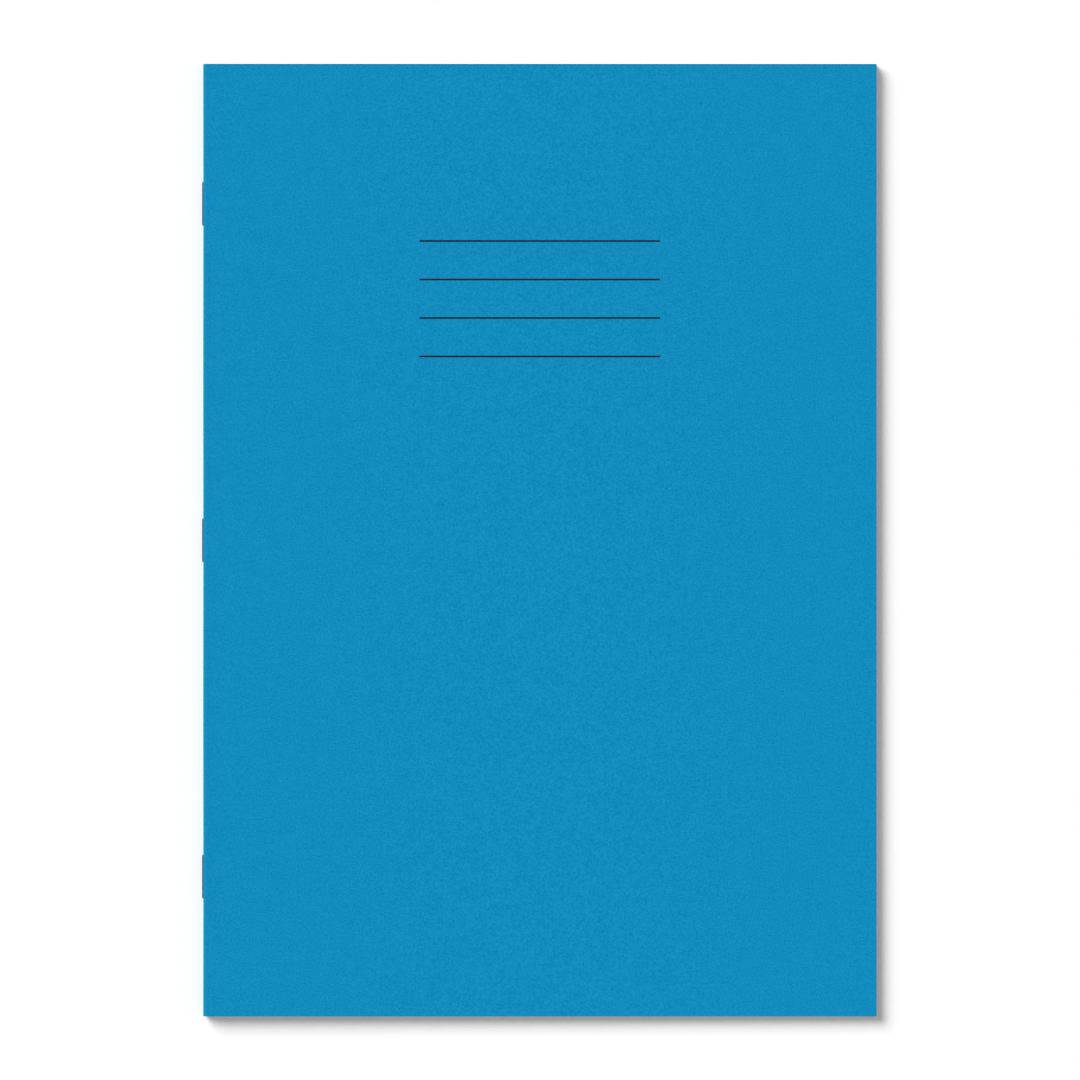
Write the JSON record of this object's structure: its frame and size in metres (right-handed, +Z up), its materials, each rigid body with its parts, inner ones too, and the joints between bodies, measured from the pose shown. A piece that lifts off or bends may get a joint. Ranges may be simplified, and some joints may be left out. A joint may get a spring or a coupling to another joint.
{
  "type": "stapled exercise book",
  "caption": "Closed stapled exercise book in a plain blue card cover with ruled label lines; its cover and leaves turn about the stitched spine.",
  "frame": {"origin": "middle of the closed book's box, on the surface that its back cover lies on", "axes": "+X from the spine to the fore-edge, +Y from tail to head, +Z up out of the front cover"},
  "size_m": [0.2104, 0.297, 0.0048],
  "materials": {
    "cover_card": "matte",
    "page_paper": "matte",
    "stitching_wire": null
  },
  "bodies": {
    "back_cover": {"back_cover": "cover_card"},
    "spine": {"cover_spine": "cover_card", "sheet_01_fold": "page_paper", "sheet_02_fold": "page_paper", "sheet_03_fold": "page_paper", "sheet_04_fold": "page_paper", "sheet_05_fold": "page_paper", "sheet_06_fold": "page_paper", "sheet_07_fold": "page_paper", "sheet_08_fold": "page_paper", "sheet_09_fold": "page_paper", "sheet_10_fold": "page_paper", "sheet_11_fold": "page_paper", "sheet_12_fold": "page_paper", "sheet_13_fold": "page_paper", "sheet_14_fold": "page_paper", "sheet_15_fold": "page_paper", "sheet_16_fold": "page_paper", "staple_top": "stitching_wire", "staple_middle": "stitching_wire", "staple_bottom": "stitching_wire"},
    "front_leaf_01": {"sheet_01_front_leaf": "page_paper"},
    "front_leaf_02": {"sheet_02_front_leaf": "page_paper"},
    "front_leaf_03": {"sheet_03_front_leaf": "page_paper"},
    "front_leaf_04": {"sheet_04_front_leaf": "page_paper"},
    "front_leaf_05": {"sheet_05_front_leaf": "page_paper"},
    "front_leaf_06": {"sheet_06_front_leaf": "page_paper"},
    "front_leaf_07": {"sheet_07_front_leaf": "page_paper"},
    "front_leaf_08": {"sheet_08_front_leaf": "page_paper"},
    "front_leaf_09": {"sheet_09_front_leaf": "page_paper"},
    "front_leaf_10": {"sheet_10_front_leaf": "page_paper"},
    "front_leaf_11": {"sheet_11_front_leaf": "page_paper"},
    "front_leaf_12": {"sheet_12_front_leaf": "page_paper"},
    "front_leaf_13": {"sheet_13_front_leaf": "page_paper"},
    "front_leaf_14": {"sheet_14_front_leaf": "page_paper"},
    "front_leaf_15": {"sheet_15_front_leaf": "page_paper"},
    "front_leaf_16": {"sheet_16_front_leaf": "page_paper"},
    "rear_leaf_01": {"sheet_01_rear_leaf": "page_paper"},
    "rear_leaf_02": {"sheet_02_rear_leaf": "page_paper"},
    "rear_leaf_03": {"sheet_03_rear_leaf": "page_paper"},
    "rear_leaf_04": {"sheet_04_rear_leaf": "page_paper"},
    "rear_leaf_05": {"sheet_05_rear_leaf": "page_paper"},
    "rear_leaf_06": {"sheet_06_rear_leaf": "page_paper"},
    "rear_leaf_07": {"sheet_07_rear_leaf": "page_paper"},
    "rear_leaf_08": {"sheet_08_rear_leaf": "page_paper"},
    "rear_leaf_09": {"sheet_09_rear_leaf": "page_paper"},
    "rear_leaf_10": {"sheet_10_rear_leaf": "page_paper"},
    "rear_leaf_11": {"sheet_11_rear_leaf": "page_paper"},
    "rear_leaf_12": {"sheet_12_rear_leaf": "page_paper"},
    "rear_leaf_13": {"sheet_13_rear_leaf": "page_paper"},
    "rear_leaf_14": {"sheet_14_rear_leaf": "page_paper"},
    "rear_leaf_15": {"sheet_15_rear_leaf": "page_paper"},
    "rear_leaf_16": {"sheet_16_rear_leaf": "page_paper"},
    "front_cover": {"front_cover": "cover_card"}
  },
  "joints": [
    {"name": "book_open", "type": "hinge", "parent": "back_cover", "child": "front_leaf_01", "pos_m": [-0.10236, 0, 0.00241], "axis": [0, -1, 0], "range_deg": [0, 178.9], "deforming": ["cover_spine", "sheet_01_fold", "sheet_02_fold", "sheet_03_fold", "sheet_04_fold", "sheet_05_fold", "sheet_06_fold", "sheet_07_fold", "sheet_08_fold", "sheet_09_fold", "sheet_10_fold", "sheet_11_fold", "sheet_12_fold", "sheet_13_fold", "sheet_14_fold", "sheet_15_fold", "sheet_16_fold"]},
    {"name": "front_cover_open", "type": "hinge", "parent": "front_leaf_01", "child": "front_cover", "pos_m": [-0.10236, 0, 0.00485], "axis": [0, -1, 0], "range_deg": [0, 181.29]},
    {"name": "spine_turn", "type": "hinge", "parent": "back_cover", "child": "spine", "pos_m": [-0.10236, 0, 0.00241], "axis": [0, -1, 0], "range_deg": [0, 89.95]},
    {"name": "front_leaf_02_turn", "type": "hinge", "parent": "back_cover", "child": "front_leaf_02", "pos_m": [-0.10236, 0, 0.00241], "axis": [0, -1, 0], "range_deg": [0, 179.3]},
    {"name": "front_leaf_03_turn", "type": "hinge", "parent": "back_cover", "child": "front_leaf_03", "pos_m": [-0.10236, 0, 0.00241], "axis": [0, -1, 0], "range_deg": [0, 179.2]},
    {"name": "front_leaf_04_turn", "type": "hinge", "parent": "back_cover", "child": "front_leaf_04", "pos_m": [-0.10236, 0, 0.00241], "axis": [0, -1, 0], "range_deg": [0, 179.1]},
    {"name": "front_leaf_05_turn", "type": "hinge", "parent": "back_cover", "child": "front_leaf_05", "pos_m": [-0.10236, 0, 0.00241], "axis": [0, -1, 0], "range_deg": [0, 179]},
    {"name": "front_leaf_06_turn", "type": "hinge", "parent": "back_cover", "child": "front_leaf_06", "pos_m": [-0.10236, 0, 0.00241], "axis": [0, -1, 0], "range_deg": [0, 178.9]},
    {"name": "front_leaf_07_turn", "type": "hinge", "parent": "back_cover", "child": "front_leaf_07", "pos_m": [-0.10236, 0, 0.00241], "axis": [0, -1, 0], "range_deg": [0, 178.8]},
    {"name": "front_leaf_08_turn", "type": "hinge", "parent": "back_cover", "child": "front_leaf_08", "pos_m": [-0.10236, 0, 0.00241], "axis": [0, -1, 0], "range_deg": [0, 178.7]},
    {"name": "front_leaf_09_turn", "type": "hinge", "parent": "back_cover", "child": "front_leaf_09", "pos_m": [-0.10236, 0, 0.00241], "axis": [0, -1, 0], "range_deg": [0, 178.6]},
    {"name": "front_leaf_10_turn", "type": "hinge", "parent": "back_cover", "child": "front_leaf_10", "pos_m": [-0.10236, 0, 0.00241], "axis": [0, -1, 0], "range_deg": [0, 178.5]},
    {"name": "front_leaf_11_turn", "type": "hinge", "parent": "back_cover", "child": "front_leaf_11", "pos_m": [-0.10236, 0, 0.00241], "axis": [0, -1, 0], "range_deg": [0, 178.4]},
    {"name": "front_leaf_12_turn", "type": "hinge", "parent": "back_cover", "child": "front_leaf_12", "pos_m": [-0.10236, 0, 0.00241], "axis": [0, -1, 0], "range_deg": [0, 178.3]},
    {"name": "front_leaf_13_turn", "type": "hinge", "parent": "back_cover", "child": "front_leaf_13", "pos_m": [-0.10236, 0, 0.00241], "axis": [0, -1, 0], "range_deg": [0, 178.2]},
    {"name": "front_leaf_14_turn", "type": "hinge", "parent": "back_cover", "child": "front_leaf_14", "pos_m": [-0.10236, 0, 0.00241], "axis": [0, -1, 0], "range_deg": [0, 178.1]},
    {"name": "front_leaf_15_turn", "type": "hinge", "parent": "back_cover", "child": "front_leaf_15", "pos_m": [-0.10236, 0, 0.00241], "axis": [0, -1, 0], "range_deg": [0, 178]},
    {"name": "front_leaf_16_turn", "type": "hinge", "parent": "back_cover", "child": "front_leaf_16", "pos_m": [-0.10236, 0, 0.00241], "axis": [0, -1, 0], "range_deg": [0, 177.9]},
    {"name": "rear_leaf_01_lift", "type": "hinge", "parent": "back_cover", "child": "rear_leaf_01", "pos_m": [-0.10236, 0, 0.00241], "axis": [0, -1, 0], "range_deg": [0, 0.6]},
    {"name": "rear_leaf_02_lift", "type": "hinge", "parent": "back_cover", "child": "rear_leaf_02", "pos_m": [-0.10236, 0, 0.00241], "axis": [0, -1, 0], "range_deg": [0, 0.7]},
    {"name": "rear_leaf_03_lift", "type": "hinge", "parent": "back_cover", "child": "rear_leaf_03", "pos_m": [-0.10236, 0, 0.00241], "axis": [0, -1, 0], "range_deg": [0, 0.8]},
    {"name": "rear_leaf_04_lift", "type": "hinge", "parent": "back_cover", "child": "rear_leaf_04", "pos_m": [-0.10236, 0, 0.00241], "axis": [0, -1, 0], "range_deg": [0, 0.9]},
    {"name": "rear_leaf_05_lift", "type": "hinge", "parent": "back_cover", "child": "rear_leaf_05", "pos_m": [-0.10236, 0, 0.00241], "axis": [0, -1, 0], "range_deg": [0, 1]},
    {"name": "rear_leaf_06_lift", "type": "hinge", "parent": "back_cover", "child": "rear_leaf_06", "pos_m": [-0.10236, 0, 0.00241], "axis": [0, -1, 0], "range_deg": [0, 1.1]},
    {"name": "rear_leaf_07_lift", "type": "hinge", "parent": "back_cover", "child": "rear_leaf_07", "pos_m": [-0.10236, 0, 0.00241], "axis": [0, -1, 0], "range_deg": [0, 1.2]},
    {"name": "rear_leaf_08_lift", "type": "hinge", "parent": "back_cover", "child": "rear_leaf_08", "pos_m": [-0.10236, 0, 0.00241], "axis": [0, -1, 0], "range_deg": [0, 1.3]},
    {"name": "rear_leaf_09_lift", "type": "hinge", "parent": "back_cover", "child": "rear_leaf_09", "pos_m": [-0.10236, 0, 0.00241], "axis": [0, -1, 0], "range_deg": [0, 1.4]},
    {"name": "rear_leaf_10_lift", "type": "hinge", "parent": "back_cover", "child": "rear_leaf_10", "pos_m": [-0.10236, 0, 0.00241], "axis": [0, -1, 0], "range_deg": [0, 1.5]},
    {"name": "rear_leaf_11_lift", "type": "hinge", "parent": "back_cover", "child": "rear_leaf_11", "pos_m": [-0.10236, 0, 0.00241], "axis": [0, -1, 0], "range_deg": [0, 1.6]},
    {"name": "rear_leaf_12_lift", "type": "hinge", "parent": "back_cover", "child": "rear_leaf_12", "pos_m": [-0.10236, 0, 0.00241], "axis": [0, -1, 0], "range_deg": [0, 1.7]},
    {"name": "rear_leaf_13_lift", "type": "hinge", "parent": "back_cover", "child": "rear_leaf_13", "pos_m": [-0.10236, 0, 0.00241], "axis": [0, -1, 0], "range_deg": [0, 1.8]},
    {"name": "rear_leaf_14_lift", "type": "hinge", "parent": "back_cover", "child": "rear_leaf_14", "pos_m": [-0.10236, 0, 0.00241], "axis": [0, -1, 0], "range_deg": [0, 1.9]},
    {"name": "rear_leaf_15_lift", "type": "hinge", "parent": "back_cover", "child": "rear_leaf_15", "pos_m": [-0.10236, 0, 0.00241], "axis": [0, -1, 0], "range_deg": [0, 2]},
    {"name": "rear_leaf_16_lift", "type": "hinge", "parent": "back_cover", "child": "rear_leaf_16", "pos_m": [-0.10236, 0, 0.00241], "axis": [0, -1, 0], "range_deg": [0, 2.1]}
  ],
  "couplings": [
    {"joint": "spine_turn", "follows": "book_open", "ratio": 0.5},
    {"joint": "front_leaf_02_turn", "follows": "book_open", "ratio": 0.99944},
    {"joint": "front_leaf_03_turn", "follows": "book_open", "ratio": 0.99888},
    {"joint": "front_leaf_04_turn", "follows": "book_open", "ratio": 0.99832},
    {"joint": "front_leaf_05_turn", "follows": "book_open", "ratio": 0.99776},
    {"joint": "front_leaf_06_turn", "follows": "book_open", "ratio": 0.99721},
    {"joint": "front_leaf_07_turn", "follows": "book_open", "ratio": 0.99665},
    {"joint": "front_leaf_08_turn", "follows": "book_open", "ratio": 0.99609},
    {"joint": "front_leaf_09_turn", "follows": "book_open", "ratio": 0.99553},
    {"joint": "front_leaf_10_turn", "follows": "book_open", "ratio": 0.99497},
    {"joint": "front_leaf_11_turn", "follows": "book_open", "ratio": 0.99441},
    {"joint": "front_leaf_12_turn", "follows": "book_open", "ratio": 0.99385},
    {"joint": "front_leaf_13_turn", "follows": "book_open", "ratio": 0.99329},
    {"joint": "front_leaf_14_turn", "follows": "book_open", "ratio": 0.99273},
    {"joint": "front_leaf_15_turn", "follows": "book_open", "ratio": 0.99217},
    {"joint": "front_leaf_16_turn", "follows": "book_open", "ratio": 0.99162},
    {"joint": "rear_leaf_01_lift", "follows": "book_open", "ratio": 0.00055897},
    {"joint": "rear_leaf_02_lift", "follows": "book_open", "ratio": 0.0011179},
    {"joint": "rear_leaf_03_lift", "follows": "book_open", "ratio": 0.0016769},
    {"joint": "rear_leaf_04_lift", "follows": "book_open", "ratio": 0.0022359},
    {"joint": "rear_leaf_05_lift", "follows": "book_open", "ratio": 0.0027949},
    {"joint": "rear_leaf_06_lift", "follows": "book_open", "ratio": 0.0033538},
    {"joint": "rear_leaf_07_lift", "follows": "book_open", "ratio": 0.0039128},
    {"joint": "rear_leaf_08_lift", "follows": "book_open", "ratio": 0.0044718},
    {"joint": "rear_leaf_09_lift", "follows": "book_open", "ratio": 0.0050307},
    {"joint": "rear_leaf_10_lift", "follows": "book_open", "ratio": 0.0055897},
    {"joint": "rear_leaf_11_lift", "follows": "book_open", "ratio": 0.0061487},
    {"joint": "rear_leaf_12_lift", "follows": "book_open", "ratio": 0.0067077},
    {"joint": "rear_leaf_13_lift", "follows": "book_open", "ratio": 0.0072666},
    {"joint": "rear_leaf_14_lift", "follows": "book_open", "ratio": 0.0078256},
    {"joint": "rear_leaf_15_lift", "follows": "book_open", "ratio": 0.0083846},
    {"joint": "rear_leaf_16_lift", "follows": "book_open", "ratio": 0.0089435}
  ]
}
